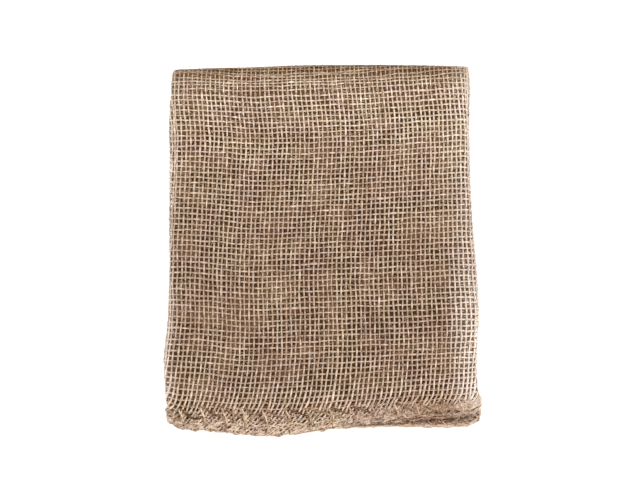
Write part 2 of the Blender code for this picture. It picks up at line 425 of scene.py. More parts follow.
ROW_SAG = table(
    "x near_crease near_seam",
    (-0.101, 0.0000, 0.0000),
    (-0.085, 0.0004, 0.0005),
    (-0.0715, 0.0013, 0.0014),
    (-0.053, 0.0029, 0.0031),
    (-0.0255, 0.0035, 0.0026),
    (0.002, 0.0031, 0.0015),
    (0.020, 0.0024, 0.0011),
    (0.039, 0.0014, 0.0006),
    (0.057, 0.0000, 0.0000),
    (0.0755, -0.0014, -0.0009),
    (0.101, -0.0030, -0.0021),
)
SAG_CHANGES = (0.060, 0.160)
SAG_ENDS_UNDER = (0.020, 0.080)
SEAM_HOLDS = 0.045


def row_sag(x, across):
    """How far the rows sag towards the upper seam. Round the crease, on the underside, the sag fades out."""
    half = np.abs(across)
    at_crease = read_column(ROW_SAG, x, "x", "near_crease")
    at_seam = read_column(ROW_SAG, x, "x", "near_seam")
    sag = at_crease + (at_seam - at_crease) * (1 - fade(half, *SAG_CHANGES))
    free = fade(half, HALF_WIDTH - SEAM_HOLDS, HALF_WIDTH)
    return sag * np.where(across < 0, free, fade(across, *SAG_ENDS_UNDER))


# %% How far the columns lean
COLUMN_LEAN = table(
    "from_edge left right",
    (0.000, 0.0225, 0.0225),
    (0.006, 0.0163, 0.0160),
    (0.011, 0.0115, 0.0106),
    (0.0155, 0.0079, 0.0066),
    (0.0215, 0.0048, 0.0034),
    (0.029, 0.0026, 0.0016),
    (0.036, 0.0013, 0.0007),
    (0.045, 0.0000, 0.0000),
    (0.110, 0.0000, 0.0000),
    (0.170, -0.0022, -0.0024),
    (0.204, -0.0030, -0.0033),
    (0.222, -0.0013, -0.0020),
    (0.232, -0.0002, -0.0010),
    (0.240, 0.0000, -0.0003),
    (0.250, 0.0000, 0.0000),
)
LEAN_CHANGES = (-0.060, 0.040)
UNDERSIDE_LEAN = 0.5
CREASE_BLEND = 0.004


def column_lean(x, across):
    """How far the columns lean along the sack, by the seams and by the crease."""
    left = read_column(COLUMN_LEAN, depth_in(across), "from_edge", "left")
    right = read_column(COLUMN_LEAN, depth_in(across), "from_edge", "right")
    lean = left + (right - left) * (1 - fade(x, *LEAN_CHANGES))
    return lean * (UNDERSIDE_LEAN + (1 - UNDERSIDE_LEAN) * fade(across, -CREASE_BLEND, CREASE_BLEND))


# %% Where the crossings have slipped to
SEAM_CROWD = 0.45
CROWD_SOFT = 0.0002


def slip(along, across):
    """Where the yarns' crossings have slipped to. The rows crowd together where a seam is drawn in."""
    x, _ = section_point(along, np.zeros_like(along))
    sag, pull = row_sag(x, across), seam_pull(along, across)
    inset = depth_in(across - sag) - pull
    inset = (inset + np.hypot(inset, 2 * SEAM_CROWD * pull + CROWD_SOFT)) / 2
    return along + column_lean(x, across), np.sign(across - sag) * (HALF_WIDTH - inset)


# %% Yarns that wander
CLOTH_EDGE = HALF_WIDTH - 0.0008
WANDER_LENGTH = 0.035
OCTAVES = (1.0, 1.9, 3.3)
WAVE_STRAY = (0.7, 1.3)
ASIDE = 0.6


def drift(rng, yarns, places, amount, wavelength):
    """A slow wander of each of several yarns at places along them, of about the given amount."""
    total = np.zeros((yarns, len(places)))
    for octave in OCTAVES:
        waves = octave * rng.uniform(*WAVE_STRAY, (yarns, 1)) / wavelength
        phase = rng.uniform(0, 2 * np.pi, (yarns, 1))
        total += np.sin(2 * np.pi * waves * places + phase) / octave
    return amount * (total + ASIDE * rng.standard_normal((yarns, 1)))


def cross(rng, columns, rows, wander):
    """Arrays of along and across for every crossing, a line for each column and a place for each row."""
    along = columns[:, None] + drift(rng, len(columns), rows, wander, WANDER_LENGTH)
    across = rows[None, :] + drift(rng, len(rows), columns, wander, WANDER_LENGTH).T
    along, across = slip(along, across)
    return along, np.clip(across, -CLOTH_EDGE, CLOTH_EDGE)


# %% Thick and thin yarns, pale and dark ones
SLUBS = 3
SLUB_REACH = (0.003, 0.012)
SLUB_GIRTH = (-0.25, 0.55)
GIRTH_LIMITS = (0.60, 1.65)
UNEVEN_GIRTH, GIRTH_LENGTH = 0.07, 0.030
UNEVEN_TONE, TONE_LENGTH, TONE_SPECKLE = 0.17, 0.016, 0.12


def girth_of(rng, yarns, places):
    """Thick and thin places of several yarns, about 1, with three slubs or lean places in each."""
    girth = 1 + drift(rng, yarns, places, UNEVEN_GIRTH, GIRTH_LENGTH)
    girth = girth + UNEVEN_GIRTH * rng.standard_normal((yarns, len(places)))
    for _ in range(SLUBS):
        middle = rng.uniform(places[0], places[-1], (yarns, 1))
        reach = rng.uniform(*SLUB_REACH, (yarns, 1))
        girth += rng.uniform(*SLUB_GIRTH, (yarns, 1)) * np.exp(-(((places - middle) / reach) ** 2))
    return np.clip(girth, *GIRTH_LIMITS)


def tones_of(rng, yarns, places):
    """Lighter and darker places of several yarns, about 0.5."""
    slow = drift(rng, yarns, places, UNEVEN_TONE, TONE_LENGTH)
    return 0.5 + slow + TONE_SPECKLE * rng.standard_normal((yarns, len(places)))


# %% [markdown]
# ## Stitches pull holes
# The side seam is overcast with a zigzag of twine. Where its upper turns go into the cloth they push the
# yarns apart. Holes could be cut in the mesh later, but real ones are made by yarns that move aside. So
# the stitches' places are settled here, before the cloth is woven, and the holes and the twine meet.

# %% Where the stitches go in
STITCH_PITCH = 0.01375
STITCH_SLANT = 0.0027
STITCH_GAP = 0.0022
LAST_FOOT = 0.7918
FEET_END = 0.002
FOOT_STRAY = 0.0008
RISE_STRAY = 0.0010
stitch_rng = np.random.default_rng(3)
feet = np.arange(LAST_FOOT, FEET_END, -STITCH_PITCH)
feet += stitch_rng.uniform(-FOOT_STRAY, FOOT_STRAY, len(feet))
rises = stitch_rng.uniform(-RISE_STRAY, RISE_STRAY, len(feet))
print(len(feet), "stitches along each seam")

# %% How far in they go
BASE_LINE = table(
    "along upper lower rise",
    (0.120, 0.0012, 0.0022, 0.0068),
    (0.200, 0.0012, 0.0022, 0.0088),
    (0.250, 0.0018, 0.0030, 0.0092),
    (0.266, 0.0036, 0.0034, 0.0086),
    (0.281, 0.0058, 0.0034, 0.0068),
    (0.297, 0.0078, 0.0035, 0.0062),
    (0.314, 0.0089, 0.0036, 0.0068),
    (0.336, 0.0094, 0.0034, 0.0078),
    (0.356, 0.0088, 0.0034, 0.0082),
    (0.375, 0.0076, 0.0034, 0.0082),
    (0.393, 0.0048, 0.0032, 0.0078),
    (0.420, 0.0032, 0.0032, 0.0070),
)


def base_depth(along, column="upper"):
    """How far in from the seam's edge the feet of the stitches lie."""
    return read_column(BASE_LINE, np.asarray(along, float), "along", column)


def stitch_top(foot, column, uneven=0.0):
    """How far in the upper turn of the stitch at a foot lies."""
    return base_depth(foot, column) + base_depth(foot, "rise") + uneven


print("the deepest feet are", round(float(base_depth(feet).max()), 4), "m in")

# %% Holes and gaps
Hole = namedtuple("Hole", "push reach")
STITCH_HOLE = Hole(0.0011, 0.0023)
LOWER_GAP = Hole(0.0016, 0.0034)
LOWER_GAP_DEPTH = 0.0050
LOWER_GAP_PITCH = 0.0056
LOWER_GAPS_SHOW = (0.12, 0.21)
GAP_STRAY = 0.0013
lower_gaps = np.arange(*LOWER_GAPS_SHOW, LOWER_GAP_PITCH)
lower_gaps += stitch_rng.uniform(-GAP_STRAY, GAP_STRAY, len(lower_gaps))


def push_apart(along, across, middle_along, middle_across, hole):
    """Crossings pushed away from the middle of a hole."""
    off_along, off_across = along - middle_along, across - middle_across
    away = np.hypot(off_along, off_across) + 1e-6
    share = hole.push * np.exp(-((away / hole.reach) ** 2)) / away
    return along + share * off_along, across + share * off_across


def open_holes(along, across, seam, column):
    """Holes at the upper turns of the stitches along one seam, and gaps by the lower half's base."""
    for foot, rise in zip(feet, rises, strict=True):
        depth = stitch_top(foot, column, rise)
        turn = foot + STITCH_SLANT - STITCH_GAP / 2
        along, across = push_apart(along, across, turn, seam * (HALF_WIDTH - depth), STITCH_HOLE)
    if seam > 0:
        for gap in lower_gaps:
            along, across = push_apart(along, across, gap, HALF_WIDTH - LOWER_GAP_DEPTH, LOWER_GAP)
    return along, across


print(len(lower_gaps), "gaps by the lower seam")

# %% [markdown]
# ## Turning a path into yarn
# A yarn could be a curve with an oval bevel, but its tilt would have to be set at every point of every
# fold. So each yarn is a tube of mesh whose oval section always lies flat on the cloth. Its path is drawn
# on the flat sack and folded, and its rings are then built round the folded path, so that it keeps its
# thickness in the folds. Its UV map holds the distance along it in millimetres and the turn round it,
# which the material needs for its twist.

# %% Smooth paths
def smooth_path(points, steps):
    """A smooth curve through each row of points, (row, point, value), with steps between each two."""
    count = points.shape[1]
    places = np.linspace(0, count - 1, (count - 1) * steps + 1)
    slopes = np.gradient(points, axis=1)
    row = np.clip(places.astype(int), 0, count - 2)
    f = (places - row)[None, :, None]
    return curve_between(points[:, row], points[:, row + 1], slopes[:, row], slopes[:, row + 1], f)


def unit(vectors):
    return vectors / (np.linalg.norm(vectors, axis=-1, keepdims=True) + 1e-12)


# %% Rings round a path
YARN_HALF_WIDTH = 0.00055
YARN_HALF_HEIGHT = 0.00040
UPWARD_STEP = 0.0002
ROUGHLY_UP = (0.2, 0.3, 0.93)


def rings_on(middle, sideways, upwards, half_width, half_height, sides):
    """Rings of points (yarn, point, side, 3) round paths in the pack, kept off the floor."""
    turn = 2 * np.pi * (np.arange(sides) + 0.5) / sides
    wide = (half_width[..., None] * np.cos(turn))[..., None] * sideways[:, :, None, :]
    high = (half_height[..., None] * np.sin(turn))[..., None] * upwards[:, :, None, :]
    rings = middle[:, :, None, :] + wide + high
    rings[..., 2] = np.maximum(rings[..., 2], FLOOR_CLEARANCE)
    return rings


def yarn_rings(paths, sides):
    """Oval rings round yarns of the cloth, from paths of along, across, lift, girth and tone."""
    along, across, lift, girth, _ = np.moveaxis(paths, -1, 0)
    middle = fold(along, across, lift)
    upwards = unit(fold(along, across, lift + UPWARD_STEP) - middle)
    sideways = unit(np.cross(unit(np.gradient(middle, axis=1)), upwards))
    half_width, half_height = YARN_HALF_WIDTH * girth, YARN_HALF_HEIGHT * np.sqrt(girth)
    return rings_on(middle, sideways, upwards, half_width, half_height, sides)


def twine_rings(middle, radius, sides):
    """Round rings along free paths in the pack. Each ring turns as little as it can from the last."""
    ahead = unit(np.gradient(middle, axis=1))
    sideways = np.empty_like(middle)
    side = np.cross(ahead[:, 0], ROUGHLY_UP)
    for place in range(middle.shape[1]):
        side = side - (side * ahead[:, place]).sum(axis=-1, keepdims=True) * ahead[:, place]
        side = unit(side)
        sideways[:, place] = side
    return rings_on(middle, sideways, np.cross(sideways, ahead), radius, radius, sides)


# %% Gathering yarns into a piece
TURN_APART = 7.3
MM = 1000


class Bundle:
    """Collects rings of points, and makes one mesh of closed tubes from them."""

    def __init__(self):
        self.points, self.faces, self.uvs, self.tones, self.ends = [], [], [], [], []
        self.count = 0

    def add(self, rings, tones, first_turn=0.0):
        """Tubes from rings (yarn, point, side, 3), with tones for the yarns or for all their points."""
        yarns, stations, sides = rings.shape[:3]
        number = self.count + np.arange(yarns * stations * sides).reshape(yarns, stations, sides)
        after = np.roll(number, -1, axis=2)
        quads = np.stack([number[:, :-1], number[:, 1:], after[:, 1:], after[:, :-1]], axis=-1)
        step = np.linalg.norm(np.diff(rings.mean(axis=2), axis=1), axis=-1)
        length = np.concatenate([np.zeros((yarns, 1)), np.cumsum(step, axis=1)], axis=1) * MM
        length = length[:, :, None] + np.zeros(sides)
        turn = (first_turn + TURN_APART * np.arange(yarns))[:, None, None] + np.arange(sides) / sides
        turn = turn + np.zeros_like(length)
        next_turn = turn + 1 / sides
        u = np.stack([length[:, :-1], length[:, 1:], length[:, 1:], length[:, :-1]], axis=-1)
        v = np.stack([turn[:, :-1], turn[:, 1:], next_turn[:, 1:], next_turn[:, :-1]], axis=-1)
        self.uvs.append(np.stack([u, v], axis=-1).reshape(-1, 2))
        self.faces.append(quads.reshape(-1, 4))
        self.points.append(rings.reshape(-1, 3))
        tones = np.broadcast_to(np.reshape(tones, (yarns, -1)), (yarns, stations))
        self.tones.append(np.repeat(tones.ravel(), sides))
        self.ends += [number[:, 0].reshape(-1, sides), number[:, -1, ::-1].reshape(-1, sides)]
        self.count += yarns * stations * sides

    def make(self, name, finish):
        """The mesh object, with its tubes' ends closed."""
        quads = np.concatenate(self.faces)
        caps = [tuple(int(i) for i in cap) for ends in self.ends for cap in ends]
        mesh = bpy.data.meshes.new(name)
        mesh.from_pydata(np.concatenate(self.points).tolist(), [], quads.tolist() + caps)
        uvs = np.zeros((len(mesh.loops), 2), np.float32)
        uvs[: 4 * len(quads)] = np.concatenate(self.uvs)
        mesh.uv_layers.new(name="thread").data.foreach_set("uv", uvs.ravel())
        tone = mesh.attributes.new("tone", "FLOAT", "POINT")
        tone.data.foreach_set("value", np.concatenate(self.tones).astype(np.float32))
        print(name, "triangles", 2 * len(quads) + sum(len(cap) - 2 for cap in caps))
        return place_piece(name, mesh, finish)


def place_piece(name, mesh, finish):
    """Puts a mesh in the scene as a piece of the sack."""
    mesh.shade_smooth()
    mesh.materials.append(finish)
    piece = bpy.data.objects.new(name, mesh)
    bpy.context.scene.collection.objects.link(piece)
    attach(piece, "root")
    return piece


# %% [markdown]
# ## Finishes
# Shader maths reads best as Python, so one small class wraps a value in a material and adds a Math node
# for each plus, minus and times. Everything else goes through one method that adds a node, and short
# methods name the nodes used most. Writing out nodes and links one by one would be three times as long.

# %% Shader expressions
class Value:
    """A value in a finish. Arithmetic on values adds Math nodes."""

    def __init__(self, finish, socket):
        self.finish, self.socket = finish, socket

    def maths(self, operation, *values):
        return self.finish.add("ShaderNodeMath", {"operation": operation}, dict(enumerate(values)))

    def __add__(self, other):
        return self.maths("ADD", self, other)

    def __sub__(self, other):
        return self.maths("SUBTRACT", self, other)

    def __rsub__(self, other):
        return self.maths("SUBTRACT", other, self)

    def __mul__(self, other):
        return self.maths("MULTIPLY", self, other)

    __radd__ = __add__
    __rmul__ = __mul__


# %% A finish
class Finish:
    """A material with one Principled shader, whose fixed values are set on its own sockets."""

    def __init__(self, name, fixed):
        self.material = bpy.data.materials.new(name)
        self.material.use_nodes = True
        self.tree = self.material.node_tree
        self.shader = self.tree.nodes["Principled BSDF"]
        for socket, value in fixed.items():
            self.shader.inputs[socket].default_value = value

    def add(self, kind, settings=None, sockets=None, output=0):
        """Adds a node with its settings, then its sockets' values or links, and returns one output."""
        node = self.tree.nodes.new(kind)
        for name, value in (settings or {}).items():
            if name == "stops":
                while len(node.color_ramp.elements) < len(value):
                    node.color_ramp.elements.new(0.5)
                for element, (place, colour) in zip(node.color_ramp.elements, value, strict=True):
                    element.position, element.color = place, (*colour, 1.0)
            else:
                setattr(node, name, value)
        for name, value in (sockets or {}).items():
            if isinstance(value, Value):
                self.tree.links.new(value.socket, node.inputs[name])
            else:
                node.inputs[name].default_value = value
        return Value(self, node.outputs[output])

    def use(self, socket, value):
        """Feeds the shader's socket."""
        self.tree.links.new(value.socket, self.shader.inputs[socket])

    def noise(self, vector, scale=1.0, detail=2.0):
        """Smooth noise from 0 to 1."""
        return self.add("ShaderNodeTexNoise", None, {"Vector": vector, "Scale": scale, "Detail": detail})

    def vector(self, x, y, z):
        return self.add("ShaderNodeCombineXYZ", None, {0: x, 1: y, 2: z})

    def part(self, vector, axis):
        return self.add("ShaderNodeSeparateXYZ", None, {0: vector}, output="XYZ".index(axis))

    def uv(self, name):
        return self.add("ShaderNodeUVMap", {"uv_map": name})

    def attribute(self, name):
        return self.add("ShaderNodeAttribute", {"attribute_name": name}, output=2)

    def place(self):
        """The place on the pack, in metres."""
        return self.add("ShaderNodeTexCoord", output=3)

    def ramp(self, value, stops):
        """A colour from stops of (place, colour)."""
        return self.add("ShaderNodeValToRGB", {"stops": stops}, {0: value})

    def step(self, value, begin, end, top=1.0):
        """0 below begin and top above end, with a smooth step between."""
        sockets = {"Value": value, "From Min": begin, "From Max": end, "To Max": top}
        return self.add("ShaderNodeMapRange", {"interpolation_type": "SMOOTHSTEP"}, sockets)

    def blend(self, factor, first, second, how="MIX"):
        """A colour between two."""
        settings = {"data_type": "RGBA", "blend_type": how}
        return self.add("ShaderNodeMix", settings, {0: factor, 6: first, 7: second}, output=2)

    def bump(self, height, strength, distance):
        sockets = {"Strength": strength, "Distance": distance, "Height": height}
        self.use("Normal", self.add("ShaderNodeBump", None, sockets))


# %% [markdown]
# ## Where the pack is painted darker or paler
# The half nearer the seam is coloured darker than the other, and the seam is browner still. The right end of
# the upper seam is painted darker, as painted shade of its stitches, and the crease is painted darker, as
# painted shade where it turns away from the lamps. The side folds are painted pale, as painted light on
# them. A painted texture would need a picture file, so each of these is a soft step across the pack, worked
# out from the place on it.

# %% Bands of colour: painted shade, painted light and a darker half
Band = namedtuple("Band", "begin end top", defaults=(1.0,))
SEWN_BAND = Band(0.098, 0.114)
CREASE_SHADOW_TINT_BAND = Band(0.106, 0.117)
FRONT_HALF_TINT_BAND = Band(-0.075, 0.045)
# Bands where the right end of the upper seam is painted darker, as painted shade of its stitches.
STITCH_SHADOW_BEGINS, STITCH_SHADOW_ENDS = Band(0.030, 0.075), Band(0.094, 0.104)
STITCH_SHADOW_EDGE, STITCH_SHADOW_EDGE_ENDS = Band(0.094, 0.106), Band(0.1155, 0.1195)
SEAM_HALF = Band(-0.02, 0.06)
# Where the side folds are painted pale, as painted light on them.
SIDE_LIGHTS = table(
    "side begin end top by_seam by_crease",
    (1, 0.077, 0.098, 0.31, 1.4, 0.80),
    (-1, 0.091, 0.103, 0.32, 1.55, 0.55),
)


def side_light_share(finish, to_right, to_seam):
    """How far the side folds are painted pale, as painted light on them, most of all by the seam."""
    in_seam_half = finish.step(to_seam, *SEAM_HALF)
    shares = []
    for lit_fold in SIDE_LIGHTS:
        here = finish.step(to_right * lit_fold.side, lit_fold.begin, lit_fold.end, top=lit_fold.top)
        shares.append(here * (in_seam_half * (lit_fold.by_seam - lit_fold.by_crease) + lit_fold.by_crease))
    return shares[0] + shares[1]


def stitch_shadow_share(finish, to_right, to_seam):
    """How far the right end of the upper seam is painted darker, as painted shade of its stitches."""
    along_seam = finish.step(to_right, *STITCH_SHADOW_BEGINS) - finish.step(to_right, *STITCH_SHADOW_ENDS)
    return along_seam * (finish.step(to_seam, *STITCH_SHADOW_EDGE) - finish.step(to_seam, *STITCH_SHADOW_EDGE_ENDS))


# %% [markdown]
# ## Jute
# Jute is a straw colour between grey and gold. No two yarns match, fibres show as fine streaks along
# each, its twist as slanting ridges, and dark specks of bark are left in it. Whole patches of the cloth
# are greener or more lilac than the rest, and its seam is flecked with loose fibre. Noise that follows
# each yarn's own length and turn makes the streaks, and noise on the pack's place makes the patches.

# %% Colours of jute
CLOTH = {"Roughness": 0.90, "Specular IOR Level": 0.15, "Sheen Weight": 0.03, "Sheen Roughness": 0.5}
SHADED = {"Roughness": 0.95, "Specular IOR Level": 0.05}
LILAC = (1.0, 0.972, 1.000)
GREEN = (0.990, 1.0, 0.955)
# Tints: a darker front half, a browner seam, painted shade by the stitches and at the crease, and painted
# light on the side folds.
FRONT_HALF_TINT = (0.728, 0.682, 0.656, 1.0)
SEWN = (1.000, 0.965, 0.925, 1.0)
STITCH_SHADOW_TINT = (0.850, 0.765, 0.690, 1.0)
CREASE_SHADOW_TINT = (0.800, 0.740, 0.640, 1.0)
SIDE_LIGHT_TINT = (0.840, 0.755, 0.680, 1.0)

# %% Jute yarn
BARK = 0.4
BARK_BAND = Band(0.66, 0.74, 0.65)
TWIST_PER_MM = 0.33
TONE_SHARE, STREAK_SHARE, PATCH_SHARE, DARKER = 0.34, 0.76, 0.60, 0.25
MOTTLE_SCALE, FLECK_SCALE, HUE_SCALE, FRONT_HALF_TINT_SCALE = 45.0, 850.0, 42.0, 24.0
FRONT_HALF_TINT_RAGGED = 0.09
FLECKS = 1.9
SEWN_KEPT = 0.75
TWIST_SHARE = 1.2
Grain = namedtuple("Grain", "per_mm per_turn layer detail")
STREAKS = Grain(0.35, 5.0, 0.0, 3.0)
PATCHES = Grain(0.08, 0.9, 3.0, 1.0)
SPECKS = Grain(0.9, 2.5, 7.0, 0.0)


def jute_yarn(name, shade, straw, pale, mottle=0.32, bare=False):
    """Twisted jute: shade, straw and pale are its dark, middle and light colours."""
    finish = Finish(name, SHADED if bare else CLOTH)
    thread, place = finish.uv("thread"), finish.place()
    length, turn = finish.part(thread, "X"), finish.part(thread, "Y")
    to_right, to_crease = finish.part(place, "X"), finish.part(place, "Y")
    to_seam = to_crease * -1.0

    def grain(look):
        vector = finish.vector(length * look.per_mm, turn * look.per_turn, look.layer)
        return finish.noise(vector, detail=look.detail)

    streaks = grain(STREAKS)
    sewn = finish.step(to_seam, *SEWN_BAND)
    mottled = (finish.noise(place, scale=MOTTLE_SCALE, detail=3.0) - 0.5) * mottle
    flecks = (finish.noise(place, scale=FLECK_SCALE, detail=2.0) - 0.5) * sewn * FLECKS
    mix = finish.attribute("tone") * TONE_SHARE + streaks * STREAK_SHARE + grain(PATCHES) * PATCH_SHARE
    mix = mix - DARKER + mottled + flecks
    dark = [c * BARK for c in shade]
    colour = finish.ramp(mix, ((0.0, dark), (0.2, shade), (0.6, straw), (1.0, pale)))
    hue = finish.ramp(finish.noise(place, scale=HUE_SCALE), ((0.41, LILAC), (0.59, GREEN)))
    colour = finish.blend(1.0, colour, hue, "MULTIPLY")
    # The front half, nearer the seam, is coloured darker than the back half.
    ragged = finish.noise(place, scale=FRONT_HALF_TINT_SCALE) * FRONT_HALF_TINT_RAGGED
    front_half_tint = finish.step(ragged - to_crease, *FRONT_HALF_TINT_BAND)
    colour = finish.blend(front_half_tint, colour, FRONT_HALF_TINT, "MULTIPLY")
    colour = finish.blend(sewn, colour, SEWN, "MULTIPLY")
    # Painted shade of the stitches at the right end of the upper seam.
    colour = finish.blend(stitch_shadow_share(finish, to_right, to_seam), colour, STITCH_SHADOW_TINT, "MULTIPLY")
    # Painted shade: the crease is darker where it turns away from the lamps.
    colour = finish.blend(finish.step(to_crease, *CREASE_SHADOW_TINT_BAND), colour, CREASE_SHADOW_TINT, "MULTIPLY")
    # Painted light: the side folds are painted pale, less so along the seam.
    side_light = side_light_share(finish, to_right, to_seam) * (1 - sewn * SEWN_KEPT)
    colour = finish.blend(side_light, colour, SIDE_LIGHT_TINT)
    colour = finish.blend(finish.step(grain(SPECKS), *BARK_BAND), colour, (*dark, 1.0))
    twist = length * TWIST_PER_MM + turn
    finish.use("Base Color", colour)
    ridges = twist.maths("PINGPONG", twist, 0.5) * TWIST_SHARE
    finish.bump(ridges + streaks, strength=0.6, distance=0.00025)
    return finish.material


SHADE = (0.205, 0.122, 0.063)
STRAW = (0.455, 0.349, 0.262)
PALE = (0.760, 0.638, 0.536)
cloth_yarn = jute_yarn("jute yarn", SHADE, STRAW, PALE)
print("yarn nodes", len(cloth_yarn.node_tree.nodes))

# %% [markdown]
# ## The outer ply
# Only one ply of the sixteen shows whole: the one that goes over the top, round the crease and under, and
# round both side folds. A woven picture on a sheet would do from a distance, but the look of hessian is
# the light that falls through its gaps. So this ply is woven yarn by yarn. Near the seam its columns are
# strained, so they stand proud and pale while the rows between them are drawn thin. The ply is cut into
# pieces that meet end to end: the top face's columns and its rows, the crease with the underside, and
# the side folds.

# %% How a ply changes by its seams and its crease
CRIMP = 0.00031
SEAM_DEPTH = 0.013
SEAM_DIP = 0.00030
CREASE_DIP = 0.00025
BY_SEAM = (0.009, SEAM_DEPTH)
BY_HEM = (0.017, 0.036)
BY_CREASE = (0.002, 0.009)
DIP_BY_CREASE = (0.004, 0.012)
STRAIN_REACH = (0.025, 0.050)
SEAM_STAND = 0.00030
SEAM_TANGLE = 0.00040
SEAM_THIN = 0.45
SEAM_STRIPE = 0.30
SEAM_SHADE = 0.50 / 0.015
SEAM_PALE = 0.80
LOWER_SHADE = 0.50
STRAINED = 0.27
STRAIN_STAND = 0.0004
STRAIN_THIN = 0.30
HEM_GIRTH = 0.16
HEM_PALE = 0.20
OVER_LIGHT_AND_SHADE = 0.36
OVER_GIRTH = 0.09
CREASE_SHADE = 0.60
CREASE_THIN = 0.12
CREASE_CALM = 0.5
BEHIND_PAINTED_LIGHT = 0.80
BEHIND_REACH, BEHIND_BEGINS = (0.015, 0.032), (0.008, 0.013)


def ply_lift(across, side):
    """The height of a ply's middle: it comes nearer to the other ply at the seams and the crease."""
    at_seam = SEAM_DIP * fade(depth_in(across), 0.0, SEAM_DEPTH)
    at_crease = CREASE_DIP * fade(np.abs(across), *DIP_BY_CREASE)
    return side * (PLY_PITCH / 2 - (at_seam + at_crease))


# %% Weaving a ply
class Ply:
    """The yarns of one ply through their crossings, as paths of along, across, lift, girth and tone."""

    def __init__(self, seed, along, across, side):
        rng = np.random.default_rng(seed)
        over = np.where(np.add.outer(*(np.arange(count) for count in along.shape)) % 2, 1.0, -1.0)
        half, depth = np.abs(across), depth_in(across)
        by_seam, by_hem, by_crease = fade(depth, *BY_SEAM), fade(depth, *BY_HEM), fade(half, *BY_CREASE)
        strained = STRAINED * fade(depth, *STRAIN_REACH) * (1 - by_seam)
        along = along + SEAM_TANGLE * by_seam * rng.standard_normal(along.shape)
        lift = ply_lift(across, side)
        bend = side * (CRIMP * (1 - CREASE_CALM * by_crease) * over + SEAM_STAND * by_seam)
        bend = bend + side * STRAIN_STAND * strained
        # Painted shade: the yarns are darker at the crease, where the seam draws the cloth in, and along the
        # lower seam, which lies under the upper one.
        shade = CREASE_SHADE * by_crease + SEAM_SHADE * by_seam * seam_pull(along, across)
        shade = shade + by_seam * np.where(across > 0, LOWER_SHADE, -SEAM_PALE) - HEM_PALE * by_hem
        # Near the crease the ply beneath is painted paler, as painted light in the top ply's gaps there.
        if side < 0:
            shade = shade - BEHIND_PAINTED_LIGHT * (fade(half, *BEHIND_REACH) - fade(half, *BEHIND_BEGINS))
        stripe = SEAM_STRIPE * by_seam * rng.choice((-1, 1), (len(along), 1))
        girth = 1 - CREASE_THIN * by_crease
        stout = girth + OVER_GIRTH * over + HEM_GIRTH * by_hem
        thin = girth - OVER_GIRTH * over - SEAM_THIN * by_seam - STRAIN_THIN * strained
        columns = (along, across, lift + bend, over, stout, shade + stripe - strained)
        self.columns = self.paths(rng, *columns)
        rows = (along, across, lift - bend, -over, thin, shade + strained)
        self.rows = self.paths(rng, *(values.T for values in rows))

    def paths(self, rng, along, across, lift, over, girth, shade):
        """Paths of one set of yarns, with painted highlight where they pass over others, painted shade where
        they dip under, and darker by the shade given.
        """
        steps = np.hypot(*(np.diff(a.mean(axis=0)) for a in (along, across)))
        places = np.concatenate([[0], np.cumsum(steps)])
        girth = girth * girth_of(rng, len(along), places)
        # The over term paints highlight on the yarns where they pass over and shade where they dip under.
        tone = tones_of(rng, len(along), places) + OVER_LIGHT_AND_SHADE * over - shade
        return np.stack([along, across, lift, girth, tone], axis=-1)

    def cut_columns(self, bundle, columns, rows, sides, steps=2):
        """Adds the columns between two places, from one row to another, to a bundle."""
        cut_yarns(bundle, self.columns, columns, rows, sides, steps)

    def cut_rows(self, bundle, columns, rows, sides, steps=2):
        cut_yarns(bundle, self.rows, rows, columns, sides, steps)


def cut_yarns(bundle, paths, yarns, reach, sides, steps):
    """Adds some yarns to a bundle, cut halfway between crossings, where the next piece begins."""
    first, last = yarns
    begin = max(reach[0] * steps - steps // 2, 0)
    end = min(reach[1] * steps - steps // 2, (paths.shape[1] - 1) * steps)
    curve = smooth_path(paths[first:last], steps)[:, begin : end + 1]
    bundle.add(yarn_rings(curve, sides), curve[..., 4], first_turn=11.0 * first)


# %% The outer ply's crossings
NEAT_WANDER = 0.00021
outer_along, outer_across = cross(np.random.default_rng(11), column_places, row_places, NEAT_WANDER)
outer_along, outer_across = open_holes(outer_along, outer_across, -1, "upper")
outer_ply = Ply(21, outer_along, outer_across, side=1)
print("crossings in the outer ply", outer_along.size)

# %% The outer ply's pieces
SAME_PLACE = 1e-4
BEFORE_CREASE = 0.008
right = int(np.searchsorted(column_places, top_start - SAME_PLACE))
left = int(np.searchsorted(column_places, top_end - SAME_PLACE)) + 1
crease = int(np.searchsorted(row_places, -CREASE_RUN / 2 - BEFORE_CREASE))
last_column, last_row = outer_along.shape

top_columns = Bundle()
outer_ply.cut_columns(top_columns, (right, left), (0, crease), sides=6)
top_columns.make("top_face_columns", cloth_yarn)

top_rows = Bundle()
outer_ply.cut_rows(top_rows, (right, left), (0, crease), sides=6)
top_rows.make("top_face_rows", cloth_yarn)

under_face = Bundle()
outer_ply.cut_columns(under_face, (right, left), (crease, last_row), sides=4)
outer_ply.cut_rows(under_face, (right, left), (crease, last_row), sides=4)
under_face.make("crease_and_underside", cloth_yarn)

for name, columns, steps in (("right_fold", (0, right), 2), ("left_fold", (left, last_column), 4)):
    side_fold = Bundle()
    outer_ply.cut_columns(side_fold, columns, (0, last_row), sides=5)
    outer_ply.cut_rows(side_fold, columns, (0, last_row), sides=5, steps=steps)
    side_fold.make(name, cloth_yarn)


# %% [markdown]
# ## The ply beneath
# Through the gaps of the top ply the next one shows. Its yarns lie a little out of step, in one patch behind
# the top yarns and in the next patch behind the gaps, which gives hessian its restless pattern of light and
# dark gaps. It is woven in the same way, from plainer, darker yarns whose dark colours are painted shade,
# and creeps against the top ply by a few slow waves.

